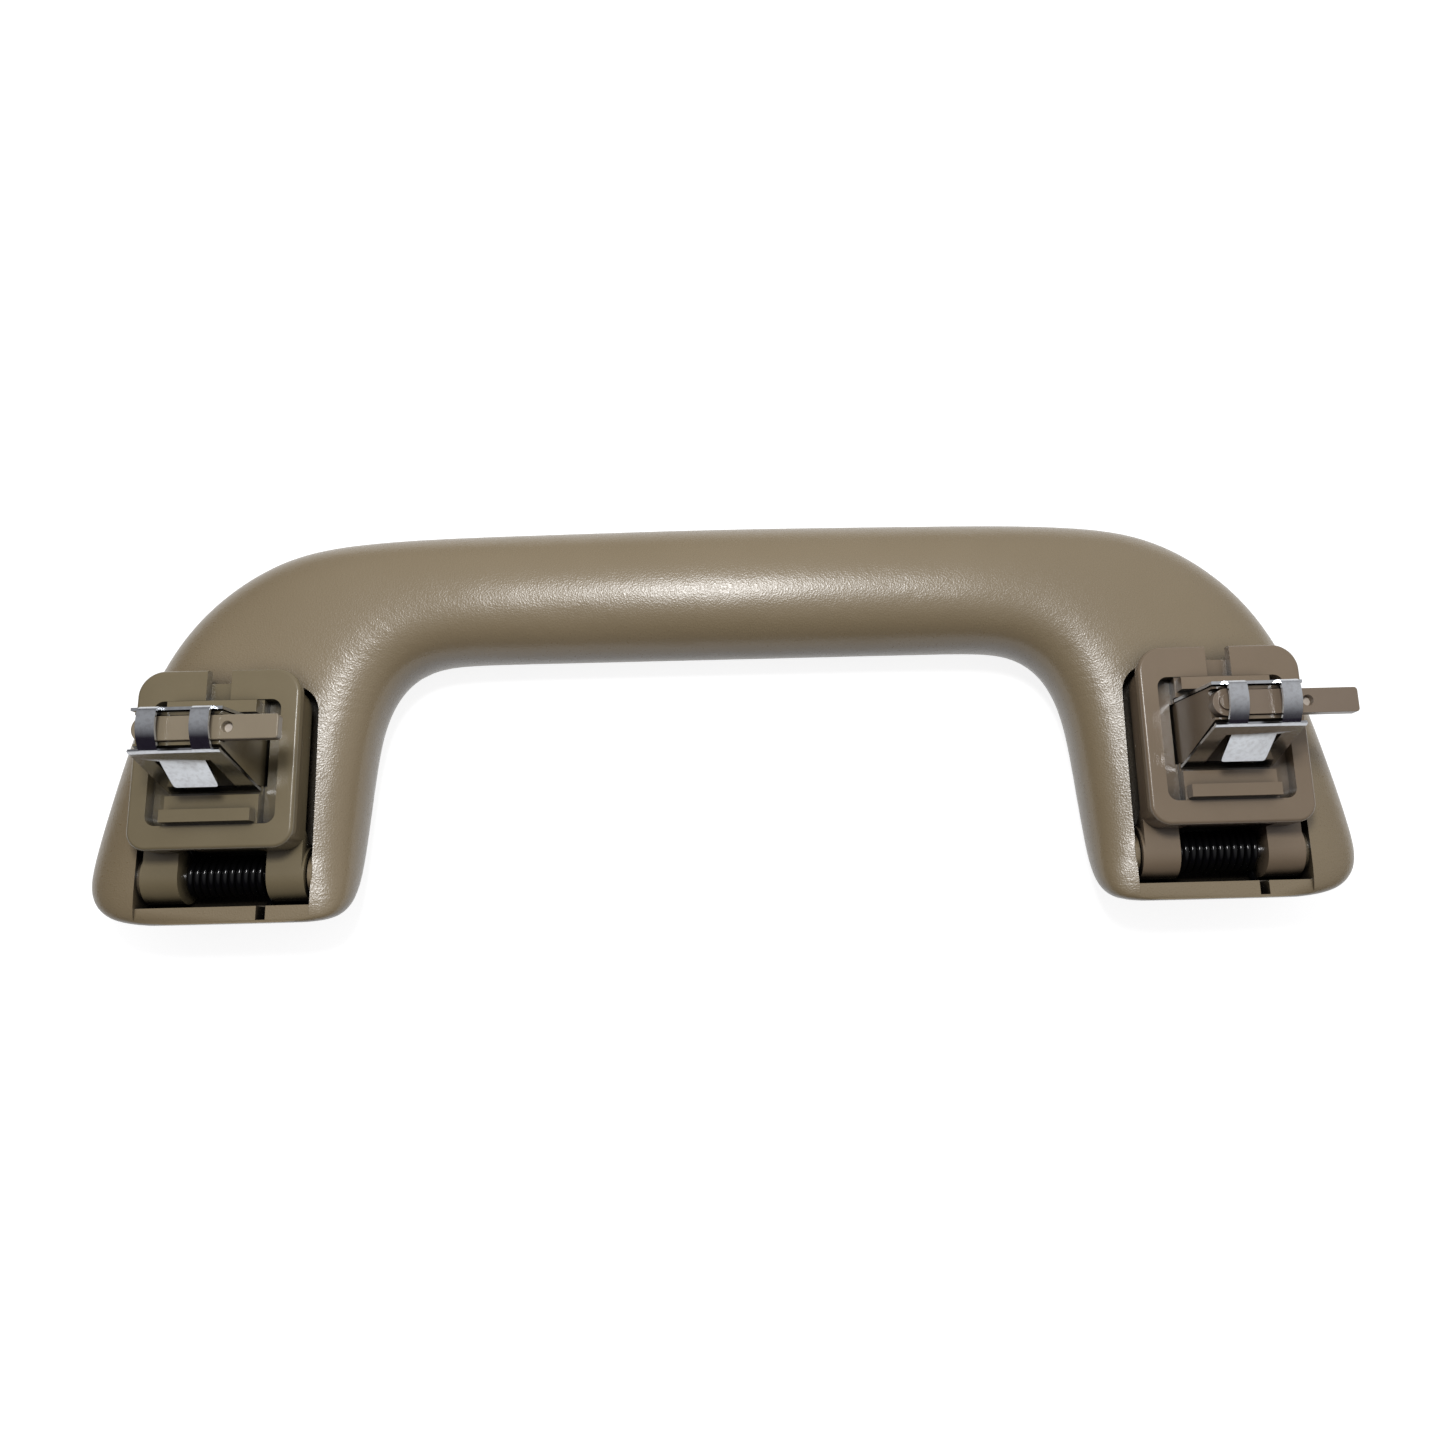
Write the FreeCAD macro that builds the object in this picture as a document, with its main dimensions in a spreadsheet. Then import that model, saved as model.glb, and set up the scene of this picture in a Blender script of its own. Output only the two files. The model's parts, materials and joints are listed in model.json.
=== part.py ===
import FreeCAD, Part
import math
import os

import Sketcher
from FreeCAD import Placement, Rotation, Vector

# A retractable roof grab handle, millimetres. X runs along the handle, Y from the hinge to the grip and
# Z out of the roof side. The origin is midway between the brackets, on the plane of their flange faces.

SIZES = {
    "bracketPitch": 188.0,
    # flange and body of a bracket, about the flange's own centre
    "flangeWidth": 30.5,
    "flangeHeight": 33.8,
    "flangeThick": 2.0,
    "flangeTopRadius": 4.9,
    "flangeLowRadius": 3.7,
    "flangeEdge": 0.7,
    "bodyInset": 0.4,
    "bodyDepth": 7.4,
    "bodyOverhang": 2.3,
    "bodyCorner": 4.5,
    # hinge
    "hingeDrop": 11.55,
    "hingeReach": 4.0,
    "knuckleRadius": 5.15,
    "knuckleProud": 0.05,
    "springBayHalf": 8.25,
    "springBayLip": 0.6,
    "pinRadius": 1.5,
    "pinRunningGap": 0.05,
    "pinSeatGap": 0.02,
    "pinSocket": 3.2,
    # window in the flange, with its middle block and ribs
    "windowHalf": 11.9,
    "windowTop": 10.95,
    "windowLow": 12.45,
    "windowCorner": 1.9,
    "channelDepth": 2.9,
    "blockHalf": 8.65,
    "blockStep": 0.25,
    "ribHalf": 8.25,
    "ribWidth": 2.3,
    "ribHeight": 2.3,
    "lowRibGap": 0.35,
    "topRibGap": 0.6,
    "rimSlotHalf": 2.3,
    # clip tower
    "towerHalf": 8.3,
    "towerTopHalf": 7.6,
    "towerBack": 6.2,
    "towerTopBack": 5.6,
    "towerFront": 5.25,
    "towerTopFront": 0.35,
    "towerHeight": 14.1,
    "cavityHalf": 5.6,
    "cavityWall": 4.0,
    "cavityRoof": 2.9,
    "slitWidth": 0.7,
    "slitDepth": 3.0,
    # spring clip
    "clipSheet": 0.55,
    "clipGap": 0.15,
    "clipFootDepth": 1.6,
    "clipHalf": 8.5,
    "clipTopHalf": 7.95,
    "clipRise": 2.2,
    "clipCrown": 0.4,
    "clipCrownBack": 1.0,
    "clipBandRise": 0.9,
    "clipBandWidth": 2.1,
    "clipBandLean": 0.5,
    "clipBandReach": 1.7,
    "clipBend": 0.8,
    "strapWidth": 3.3,
    "strapSpacing": 9.2,
    "strapShift": 0.4,
    "clipWindowHalf": 4.9,
    "clipWindowDrop": 1.4,
    "tongueHalf": 4.0,
    "tongueDrop": 8.7,
    "tongueReach": 6.5,
    # plastic strip through the tower's top
    "stripWidth": 4.4,
    "stripThick": 2.0,
    "stripSink": 1.5,
    "stripTail": 17.6,
    "stripHeadRadius": 2.45,
    "stripHeadX": 5.45,
    "stripCentre": 2.6,
    "stripGap": 0.15,
    "stripBoss": 0.6,
    "stripBossRadius": 1.4,
    "stripHoleRadius": 0.95,
    "stripHoleX": 8.75,
    "stripHoleDepth": 1.2,
    # torsion spring
    "wireDiameter": 1.26,
    "coilRadius": 3.3,
    "coilTurns": 11.0,
    "coilPitch": 1.31,
    "coilEndGap": 0.1,
    "legAngle": -30.0,
    "tailAngle": -123.4,
    "legLength": 7.4,
    "tailLength": 7.4,
    "legSlotLow": 2.0,
    "legSlotHigh": 4.0,
    # pocket in each foot of the handle
    "pocketGap": 0.7,
    "pocketTopGap": 0.4,
    "pocketFloorGap": 5.2,
    "pocketCorner": 5.0,
    "troughGap": 0.6,
    "endWallGap": 0.85,
    "endWall": 3.1,
    "notchWidth": 1.8,
    "notchGap": 0.35,
    "notchSkin": 0.5,
    "earBossRadius": 4.2,
    "earBossGap": 0.3,
    "earBossRoot": 0.2,
    # outer form of the handle
    "backDrop": 6.4,
    "footOuter": 11.95,
    "footInner": 7.25,
    "footDepth": 22.0,
    "gripHeight": 26.9,
    "gripDepth": 20.5,
    "gripDrop": 7.9,
    "gripGap": 51.8,
}

doc = FreeCAD.newDocument("GrabHandle")
sheet = doc.addObject("Spreadsheet::Sheet", "Sizes")
for row, (alias, value) in enumerate(SIZES.items(), 1):
    sheet.set(f"A{row}", alias)
    sheet.set(f"B{row}", str(value))
    sheet.setAlias(f"B{row}", alias)
doc.recompute()


def size(text):
    """The value of an expression in the sheet's aliases."""
    return float(FreeCAD.Units.Quantity(sheet.evalExpression(text)).Value)


def bind(thing, prop, text):
    thing.setExpression(prop, named(text))


def named(text):
    """The same expression as an object outside the sheet has to write it."""
    words = sorted(SIZES, key=len, reverse=True)
    for at, word in enumerate(words):
        text = text.replace(word, f"<{at}>")
    for at, word in enumerate(words):
        text = text.replace(f"<{at}>", f"Sizes.{word}")
    return text


# Sketches and features, each held by expressions


def newSketch(body, name, role, lift="0"):
    sketch = body.newObject("Sketcher::SketchObject", name)
    plane = [f for f in body.Origin.OriginFeatures if f.Role == role][0]
    sketch.AttachmentSupport = [(plane, "")]
    sketch.MapMode = "FlatFace"
    bind(sketch, "AttachmentOffset.Base.z", f"({lift}) * 1 mm")
    return sketch


def hold(sketch, kind, geometry, point, text):
    """A distance from the sketch's origin to a point, along one axis."""
    at = sketch.addConstraint(Sketcher.Constraint(kind, -1, 1, geometry, point, size(text)))
    label = f"{kind}{geometry}"
    sketch.renameConstraint(at, label)
    bind(sketch, f"Constraints.{label}", text)


def polygon(sketch, points):
    corners = [Vector(size(x), size(y), 0) for x, y in points]
    count = len(corners)
    for at in range(count):
        sketch.addGeometry(Part.LineSegment(corners[at], corners[(at + 1) % count]), False)
    for at in range(count):
        sketch.addConstraint(Sketcher.Constraint("Coincident", at, 2, (at + 1) % count, 1))
    for at, (x, y) in enumerate(points):
        hold(sketch, "DistanceX", at, 1, x)
        hold(sketch, "DistanceY", at, 1, y)


def circle(sketch, x, y, radius):
    at = sketch.addGeometry(Part.Circle(Vector(size(x), size(y), 0), Vector(0, 0, 1), size(radius)), False)
    hold(sketch, "DistanceX", at, 3, x)
    hold(sketch, "DistanceY", at, 3, y)
    ring = sketch.addConstraint(Sketcher.Constraint("Radius", at, size(radius)))
    sketch.renameConstraint(ring, f"Radius{at}")
    bind(sketch, f"Constraints.Radius{at}", radius)


def rectangle(left, right, low, high):
    return [(left, low), (right, low), (right, high), (left, high)]


def feature(body, kind, name, sketch, length, both=False):
    made = body.newObject(f"PartDesign::{kind}", name)
    made.Profile = sketch
    bind(made, "Length", length)
    if both:
        made.SideType = "Symmetric"
    doc.recompute()
    return made


def block(body, name, sides, base, height):
    """A block on the XY plane, raised from base."""
    sketch = newSketch(body, f"{name}Sketch", "XY_Plane", base)
    polygon(sketch, rectangle(*sides))
    return feature(body, "Pad", name, sketch, height)


def recess(body, name, sides, top, depth):
    """A rectangular recess that goes down from top."""
    sketch = newSketch(body, f"{name}Sketch", "XY_Plane", top)
    polygon(sketch, rectangle(*sides))
    return feature(body, "Pocket", name, sketch, depth)


def rounded(body, name, radius, test):
    """A fillet on the edges of the body's last feature that pass the test."""
    tip = body.Tip
    edges = [f"Edge{at}" for at, edge in enumerate(tip.Shape.Edges, 1) if test(edge)]
    fillet = body.newObject("PartDesign::Fillet", name)
    fillet.Base = (tip, edges)
    bind(fillet, "Radius", radius)
    doc.recompute()
    return fillet


def near(a, b):
    return abs(a - b) < 0.01


def upright(edge, x, y):
    """True for an edge along Z at that distance from the middle and that height."""
    box = edge.BoundBox
    flat = box.XLength < 0.01 and box.YLength < 0.01
    return flat and near(abs(box.Center.x), x) and near(box.Center.y, y)


# Places that several pieces share

hingeY = "(-flangeHeight / 2 - hingeReach)"
hingeZ = "(-hingeDrop)"
bodyTop = "(flangeHeight / 2 - bodyOverhang)"
stripTop = "(towerHeight - stripSink + stripThick)"
knuckleHalf = "(flangeWidth / 2 + knuckleProud)"
pocketHalf = f"({knuckleHalf} + earBossGap + pocketGap)"
endWallInside = f"({hingeY} - knuckleRadius - endWallGap)"
coilStart = "(-springBayHalf + wireDiameter / 2 + coilEndGap)"
coilEnd = f"({coilStart} + coilPitch * (coilTurns + (legAngle - tailAngle) / 360))"
past = "1"
sides = (-1, 1)
sideNames = {-1: "left", 1: "right"}
sectionPoints = 16
stepsPerTurn = 16
wireSides = 10


def place(side, thing):
    thing.setExpression("Placement.Base.x", named(f"{side} * bracketPitch / 2 * 1 mm"))


def makeBracket(side):
    """Flange, body, knuckles, ribs and the clip tower, moulded in one."""
    body = doc.addObject("PartDesign::Body", f"{sideNames[side]}_bracket")
    inset = "flangeWidth / 2 - bodyInset"
    low = "-flangeHeight / 2"
    block(
        body, "spacer", (f"-({inset})", inset, low, bodyTop), "-bodyDepth", "bodyDepth - flangeThick / 2"
    )
    insetNow, topNow = size(inset), size(bodyTop)
    rounded(body, "spacerCorners", "bodyCorner", lambda e: upright(e, insetNow, topNow))
    half = "flangeWidth / 2"
    block(body, "flange", (f"-{half}", half, low, "flangeHeight / 2"), "-flangeThick", "flangeThick")
    wide, tall = size(half), size("flangeHeight / 2")
    rounded(body, "flangeTopCorners", "flangeTopRadius", lambda e: upright(e, wide, tall))
    rounded(body, "flangeLowCorners", "flangeLowRadius", lambda e: upright(e, wide, -tall))
    rounded(
        body, "flangeRim", "flangeEdge", lambda e: near(e.BoundBox.ZMin, 0) and near(e.BoundBox.ZMax, 0)
    )

    # knuckle barrel and the web that joins it to the spacer
    barrel = newSketch(body, "barrelSketch", "YZ_Plane")
    circle(barrel, hingeY, hingeZ, "knuckleRadius")
    feature(body, "Pad", "barrel", barrel, f"2 * {knuckleHalf}", both=True)
    web = newSketch(body, "webSketch", "YZ_Plane")
    polygon(web, [
        (hingeY, f"{hingeZ} - knuckleRadius"),
        ("-flangeHeight / 2 + hingeReach", "-bodyDepth"),
        ("-flangeHeight / 2 + hingeReach", f"{hingeZ} + knuckleRadius"),
        (hingeY, f"{hingeZ} + knuckleRadius"),
    ])
    feature(body, "Pad", "web", web, f"2 * ({inset})", both=True)
    recess(
        body, "springBay",
        (
            "-springBayHalf", "springBayHalf",
            f"{hingeY} - knuckleRadius - {past}", f"{hingeY} + knuckleRadius - springBayLip",
        ),
        "-flangeThick", "hingeDrop + 2 * knuckleRadius",
    )
    bore = newSketch(body, "boreSketch", "YZ_Plane")
    circle(bore, hingeY, hingeZ, "pinRadius + pinRunningGap")
    feature(body, "Pocket", "bore", bore, f"2 * ({knuckleHalf} + {past})", both=True)

    # window: two side channels and a middle block with a rib at each end
    for hand, word in ((-1, "Left"), (1, "Right")):
        inner, outer = f"{hand} * blockHalf", f"{hand} * windowHalf"
        ends = (inner, outer) if hand > 0 else (outer, inner)
        recess(body, f"channel{word}", (*ends, "-windowLow", "windowTop"), "0", "channelDepth")
    sideNow, lowNow, highNow = size("windowHalf"), size("-windowLow"), size("windowTop")
    rounded(
        body, "windowCorners", "windowCorner",
        lambda e: upright(e, sideNow, lowNow) or upright(e, sideNow, highNow),
    )
    recess(body, "blockFace", ("-blockHalf", "blockHalf", "-windowLow", "windowTop"), "0", "blockStep")
    low, high = "-windowLow + lowRibGap", "windowTop - topRibGap"
    block(body, "lowRib", ("-ribHalf", "ribHalf", low, f"{low} + ribWidth"), "-blockStep", "ribHeight + blockStep")
    block(body, "topRib", ("-ribHalf", "ribHalf", f"{high} - ribWidth", high), "-blockStep", "ribHeight + blockStep")
    recess(
        body, "rimSlot", ("-rimSlotHalf", "rimSlotHalf", "windowTop", f"flangeHeight / 2 + {past}"), "0", "flangeThick"
    )

    # clip tower, tapered on all sides, on the middle block
    base = newSketch(body, "towerBase", "XY_Plane", "-blockStep")
    polygon(base, rectangle("-towerHalf", "towerHalf", "-towerFront", "towerBack"))
    top = newSketch(body, "towerTop", "XY_Plane", "towerHeight")
    polygon(top, rectangle("-towerTopHalf", "towerTopHalf", "-towerTopFront", "towerTopBack"))
    tower = body.newObject("PartDesign::AdditiveLoft", "tower")
    tower.Profile = base
    tower.Sections = [top]
    doc.recompute()
    recess(
        body, "tongueCavity",
        ("-cavityHalf", "cavityHalf", "-towerFront - clipSheet - clipGap", "towerBack - cavityWall"),
        "towerHeight - cavityRoof", "towerHeight - cavityRoof + bodyDepth / 2",
    )
    wide = "(stripWidth / 2 + stripGap)"
    recess(
        body, "stripSlot", ("-towerHalf", "towerHalf", f"stripCentre - {wide}", f"stripCentre + {wide}"),
        "towerHeight", "stripSink",
    )
    head = "(stripHeadRadius + stripGap)"
    recess(
        body, "headSeat",
        ("-towerHalf", "-stripHeadX + stripHeadRadius", f"stripCentre - {head}", f"stripCentre + {head}"),
        "towerHeight", "stripSink",
    )
    # slots that the clip's two legs stand in, and the slits beside the tower
    leg = "clipSheet + 2 * clipGap"
    recess(
        body, "backLegSlot", ("-clipHalf - clipGap", "clipHalf + clipGap", "towerBack", f"towerBack + {leg}"),
        "0", "clipFootDepth + 2 * clipGap",
    )
    recess(
        body, "frontLegSlot",
        ("-clipHalf - clipGap", "clipHalf + clipGap", f"-towerFront - 2 * ({leg})", "-towerFront"),
        "0", "clipFootDepth + 2 * clipGap",
    )
    for hand, word in ((-1, "Left"), (1, "Right")):
        inner, outer = f"{hand} * towerHalf", f"{hand} * (towerHalf + slitWidth)"
        ends = (inner, outer) if hand > 0 else (outer, inner)
        recess(
            body, f"slit{word}", (*ends, "-towerFront", "towerBack"), "-blockStep", "channelDepth + slitDepth"
        )
    # slot in the spacer that takes the spring's leg
    recess(
        body, "springLegSlot",
        ("-springBayHalf", "-springBayHalf + 2 * wireDiameter", f"{hingeY} + legSlotLow", "-flangeHeight / 2 + legSlotHigh"),
        "-2 * flangeThick", "bodyDepth + hingeDrop",
    )
    place(side, body)
    return body


def makeClip(side):
    """One bent sheet: a back leg, two straps over the tower, a slanted front leg and its tongue."""
    gap, sheetThick = size("clipGap"), size("clipSheet")
    foot = -size("clipFootDepth")
    topZ = size("towerHeight + clipRise")
    backY = size("towerBack") + gap
    lean = (size("towerBack") - size("towerTopBack")) / size("towerHeight")
    reach, bandTop = size("clipBandReach"), size("towerHeight + clipBandRise")
    bandLow = bandTop - size("clipBandWidth")
    frontFoot = -size("towerFront") - gap
    level = -size("blockStep")
    slant = (frontFoot + reach) / (bandLow - level)
    # inner side of the sheet, from the back foot over the top to the front foot
    inner = [
        Vector(0, backY, foot),
        Vector(0, backY - lean * topZ, topZ),
        Vector(0, size("stripCentre - clipCrownBack"), topZ + size("clipCrown")),
        Vector(0, -reach + size("clipBandLean"), bandTop),
        Vector(0, -reach, bandLow),
        Vector(0, frontFoot + slant * (level - foot), foot),
    ]
    wire = bentPath(inner, size("clipBend"))
    band = sheetAlong(wire, sheetThick, 2 * size("clipHalf"))

    # the sides taper from the feet to the shoulder
    low, high = size("clipHalf"), size("clipTopHalf")
    far = 2 * topZ
    taper = Part.makePolygon([
        Vector(-low, -far, foot), Vector(low, -far, foot), Vector(high, -far, bandLow), Vector(high, -far, far),
        Vector(-high, -far, far), Vector(-high, -far, bandLow), Vector(-low, -far, foot),
    ])
    clip = band.common(Part.Face(taper).extrude(Vector(0, 2 * far, 0)))

    # openings beside and between the two straps
    strap, spacing, shift = size("strapWidth"), size("strapSpacing"), size("strapShift")
    edges = [-far, shift - (spacing + strap) / 2, shift - (spacing - strap) / 2]
    edges += [shift + (spacing - strap) / 2, shift + (spacing + strap) / 2, far]
    for left, right in zip(edges[0::2], edges[1::2]):
        clip = clip.cut(Part.makeBox(right - left, 2 * far, far, Vector(left, -far, bandTop)))

    # window in the front leg, and the tongue that springs out of its top edge
    half, windowRoof = size("clipWindowHalf"), bandLow - size("clipWindowDrop")
    clip = clip.cut(Part.makeBox(2 * half, far - reach, windowRoof, Vector(-half, -far, 0)))
    root = Vector(0, frontFoot - slant * (windowRoof - level), windowRoof)
    above = Vector(0, -reach, bandLow)
    tip = Vector(0, -size("tongueReach") + sheetThick, size("towerHeight - tongueDrop"))
    tongue = sheetAlong(Part.makePolygon([(above + root) / 2, root, tip]), sheetThick, 2 * size("tongueHalf"))
    return asPiece(f"{sideNames[side]}_clip", clip.fuse(tongue).removeSplitter(), side)


def bentPath(points, radius):
    """Straight runs joined by tangent arcs of one radius."""
    edges, start = [], points[0]
    for before, corner, after in zip(points, points[1:], points[2:]):
        come = (before - corner).normalize()
        go = (after - corner).normalize()
        half = come.getAngle(go) / 2
        back = radius / math.tan(half)
        first, last = corner + come * back, corner + go * back
        middle = (come + go).normalize()
        apex = corner + middle * (radius / math.sin(half) - radius)
        edges.append(Part.LineSegment(start, first).toShape())
        edges.append(Part.Arc(first, apex, last).toShape())
        start = last
    edges.append(Part.LineSegment(start, points[-1]).toShape())
    return Part.Wire(edges)


def sheetAlong(wire, thick, width):
    """A sheet whose inner side follows a wire in the YZ plane."""
    outer = wire.makeOffset2D(thick, 0, False, True)
    if outer.BoundBox.YMin > wire.BoundBox.YMin:
        outer = wire.makeOffset2D(-thick, 0, False, True)
    a, b = wire.OrderedVertexes, outer.OrderedVertexes
    if a[0].Point.distanceToPoint(b[0].Point) > a[0].Point.distanceToPoint(b[-1].Point):
        b = b[::-1]
    caps = [Part.LineSegment(p.Point, q.Point).toShape() for p, q in ((a[0], b[0]), (a[-1], b[-1]))]
    outline = Part.Wire(Part.__sortEdges__([*wire.Edges, *outer.Edges, *caps]))
    face = Part.Face(outline)
    face.translate(Vector(-width / 2, 0, 0))
    return face.extrude(Vector(width, 0, 0))


def asPiece(name, shape, side=0):
    piece = doc.addObject("Part::Feature", name)
    piece.Shape = shape
    piece.Placement = Placement(Vector(side * size("bracketPitch / 2"), 0, 0), Rotation())
    return piece


def makeStrip(side):
    """A flat strip with a round head, a boss on the head and a blind hole near its tail."""
    body = doc.addObject("PartDesign::Body", f"{sideNames[side]}_strip")
    base = "towerHeight - stripSink"
    low, high = "stripCentre - stripWidth / 2", "stripCentre + stripWidth / 2"
    block(body, "shank", ("-stripHeadX", "stripTail", low, high), base, "stripThick")
    tail, lowNow, highNow = size("stripTail"), size(low), size(high)
    rounded(
        body, "tailCorners", "stripBoss",
        lambda e: upright(e, tail, lowNow) or upright(e, tail, highNow),
    )
    head = newSketch(body, "headSketch", "XY_Plane", base)
    circle(head, "-stripHeadX", "stripCentre", "stripHeadRadius")
    feature(body, "Pad", "head", head, "stripThick")
    boss = newSketch(body, "bossSketch", "XY_Plane", stripTop)
    circle(boss, "-stripHeadX", "stripCentre", "stripBossRadius")
    feature(body, "Pad", "boss", boss, "stripBoss")
    hole = newSketch(body, "holeSketch", "XY_Plane", stripTop)
    circle(hole, "stripHoleX", "stripCentre", "stripHoleRadius")
    feature(body, "Pocket", "hole", hole, "stripHoleDepth")
    place(side, body)
    return body


def makePin(side):
    """A plain steel pin, chamfered at both ends."""
    pin = doc.addObject("PartDesign::Body", f"{sideNames[side]}_pin")
    sketch = newSketch(pin, "pinSketch", "YZ_Plane")
    circle(sketch, hingeY, hingeZ, "pinRadius")
    feature(pin, "Pad", "shaft", sketch, f"2 * ({pocketHalf} + pinSocket - pinSeatGap)", both=True)
    tip = pin.Tip
    chamfer = pin.newObject("PartDesign::Chamfer", "ends")
    rims = [f"Edge{at}" for at, edge in enumerate(tip.Shape.Edges, 1) if len(edge.Vertexes) == 1]
    chamfer.Base = (tip, rims)
    bind(chamfer, "Size", "pinRadius / 5")
    place(side, pin)
    return pin


def makeSpring(side):
    """A close-wound torsion spring: a leg into the bracket, the coil, and a tail into the handle's end wall."""
    radius, pitch = size("coilRadius"), size("coilPitch")
    startX = size(coilStart)
    legTurn, tailTurn = math.radians(size("legAngle")), math.radians(size("tailAngle"))
    turned = legTurn - tailTurn + 2 * math.pi * size("coilTurns")
    steps = round(turned / (2 * math.pi) * stepsPerTurn)

    # each stop on the way: its place, and the direction from the axis; the turn falls as X grows
    stops = []
    for at in range(steps + 1):
        turn = legTurn - turned * at / steps
        outward = Vector(0, math.cos(turn), math.sin(turn))
        centre = Vector(startX + pitch * turned * at / steps / (2 * math.pi), size(hingeY), size(hingeZ))
        stops.append((centre + outward * radius, outward))
    legWay = Vector(0, math.sin(legTurn), -math.cos(legTurn))
    tailWay = Vector(0, math.sin(tailTurn), -math.cos(tailTurn))
    first, last = stops[0], stops[-1]
    stops.insert(0, (first[0] - legWay * size("legLength"), first[1]))
    stops.append((last[0] + tailWay * size("tailLength"), last[1]))
    return asPiece(f"{sideNames[side]}_spring", facetedTube(stops, size("wireDiameter") / 2), side)


def facetedTube(stops, radius):
    """A round tube of flat facets through stops, each a place and a direction across the path."""
    places = [place for place, outward in stops]
    befores, afters = [places[0], *places[:-1]], [*places[1:], places[-1]]
    points = []
    for (place, outward), before, after in zip(stops, befores, afters):
        along = (after - before).normalize()
        across = along.cross(outward).normalize()
        outward = across.cross(along)
        for at in range(wireSides):
            turn = 2 * math.pi * at / wireSides
            points.append(place + (outward * math.cos(turn) + across * math.sin(turn)) * radius)
    facets = []
    for ring in range(len(stops) - 1):
        for at in range(wireSides):
            a, b = ring * wireSides + at, ring * wireSides + (at + 1) % wireSides
            facets += [(a, b, b + wireSides), (a, b + wireSides, a + wireSides)]
    top = (len(stops) - 1) * wireSides
    for at in range(1, wireSides - 1):
        facets += [(0, at + 1, at), (top, top + at, top + at + 1)]
    shell = Part.Shape()
    shell.makeShapeFromMesh((points, facets), 0.001)
    tube = Part.Solid(Part.Shell(shell.Faces))
    return tube if tube.Volume > 0 else Part.Solid(Part.Shell(shell.reversed().Faces))


# The handle: sections from the end of one foot round to the end of the other


def gripSections():
    """Rows for one half: inner point, outer point, heights of back and front, squareness of back and front."""
    centre = size("bracketPitch / 2")
    inner, outer = centre - size("flangeWidth / 2 + footInner"), centre + size("flangeWidth / 2 + footOuter")
    end = size(endWallInside) - size("endWall")
    low = size("gripGap") + end
    high = low + size("gripHeight")
    back, front = -size("backDrop"), -size("backDrop") - size("footDepth")
    gripBack = -size("gripDrop")
    gripFront = gripBack - size("gripDepth")
    rows = [
        (inner + 7.0, end, outer - 13.5, end, back - 1.0, back - 4.6, 5.0, 3.0),
        (inner + 3.6, end + 0.3, outer - 8.0, end + 0.4, back - 0.4, back - 7.5, 5.0, 3.0),
        (inner + 1.2, end + 1.9, outer - 3.2, end + 2.4, back - 0.1, back - 11.5, 5.0, 2.8),
        (inner + 0.2, end + 6.0, outer - 0.4, end + 6.6, back, back - 16.5, 5.0, 2.6),
        (inner, end + 12.0, outer, end + 12.0, back, front + 1.2, 4.6, 2.5),
        (inner - 0.9, end + 24.0, outer - 2.2, end + 24.0, back, front, 4.4, 2.4),
        (inner - 2.0, end + 36.0, outer - 5.0, end + 36.0, back, front, 4.4, 2.4),
        (inner - 4.2, low - 8.6, outer - 8.4, end + 47.6, back, front, 4.2, 2.4),
        (inner - 7.6, low - 3.6, outer - 15.8, end + 61.8, back - 0.1, front, 3.8, 2.4),
        (inner - 12.6, low - 0.8, outer - 31.4, high - 4.6, back - 0.3, front, 3.3, 2.3),
        (inner - 18.5, low - 0.1, outer - 48.4, high - 1.7, back - 0.7, front, 2.9, 2.2),
        (inner - 25.5, low, outer - 66.4, high - 0.7, (back + gripBack) / 2, gripFront, 2.5, 2.2),
        (inner * 0.46, low, inner * 0.48, high - 0.1, gripBack, gripFront, 2.3, 2.1),
        (inner * 0.22, low, inner * 0.225, high + 0.1, gripBack, gripFront, 2.3, 2.1),
    ]
    middle = (0.0, low, 0.0, high + 0.2, gripBack, gripFront, 2.3, 2.1)
    mirrored = [(-row[0], row[1], -row[2], *row[3:]) for row in rows]
    return mirrored + [middle] + rows[::-1]


def sectionNet(inX, inY, outX, outY, back, front, backPower, frontPower):
    """Control points of one closed section: squarer behind, rounder in front."""
    inner, outer = Vector(inX, inY, 0), Vector(outX, outY, 0)
    across, centre = (outer - inner) / 2, (outer + inner) / 2
    waist = back - 0.52 * (back - front)
    swell = 3 / (2 + math.cos(2 * math.pi / sectionPoints))
    points = []
    for at in range(sectionPoints):
        turn = 2 * math.pi * (at + 0.5) / sectionPoints
        c, s = math.cos(turn), math.sin(turn)
        power = backPower if s > 0 else frontPower
        reach = swell * (abs(c) ** power + abs(s) ** power) ** (-1 / power)
        rise = (back - waist) if s > 0 else (waist - front)
        points.append(centre + across * (c * reach) + Vector(0, 0, waist + s * reach * rise))
    return points


def smoothForm():
    """One smooth surface through the sections, closed by a flat face at the end of each foot."""
    net = [sectionNet(*row) for row in gripSections()]
    rows = len(net)
    poles = [[section[at] for section in net] for at in range(sectionPoints)]
    surface = Part.BSplineSurface()
    surface.buildFromPolesMultsKnots(
        poles, [1] * (sectionPoints + 1), [4] + [1] * (rows - 4) + [4],
        [float(at) for at in range(sectionPoints + 1)], [float(at) for at in range(rows - 2)],
        True, False, 3, 3,
    )
    skin = surface.toShape()
    rims = [edge for edge in skin.Edges if edge.isClosed() and edge.BoundBox.YLength < 0.01]
    caps = [Part.Face(Part.Wire([rim])).reversed() for rim in rims]
    return Part.Solid(Part.Shell([skin, *caps]))


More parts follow.
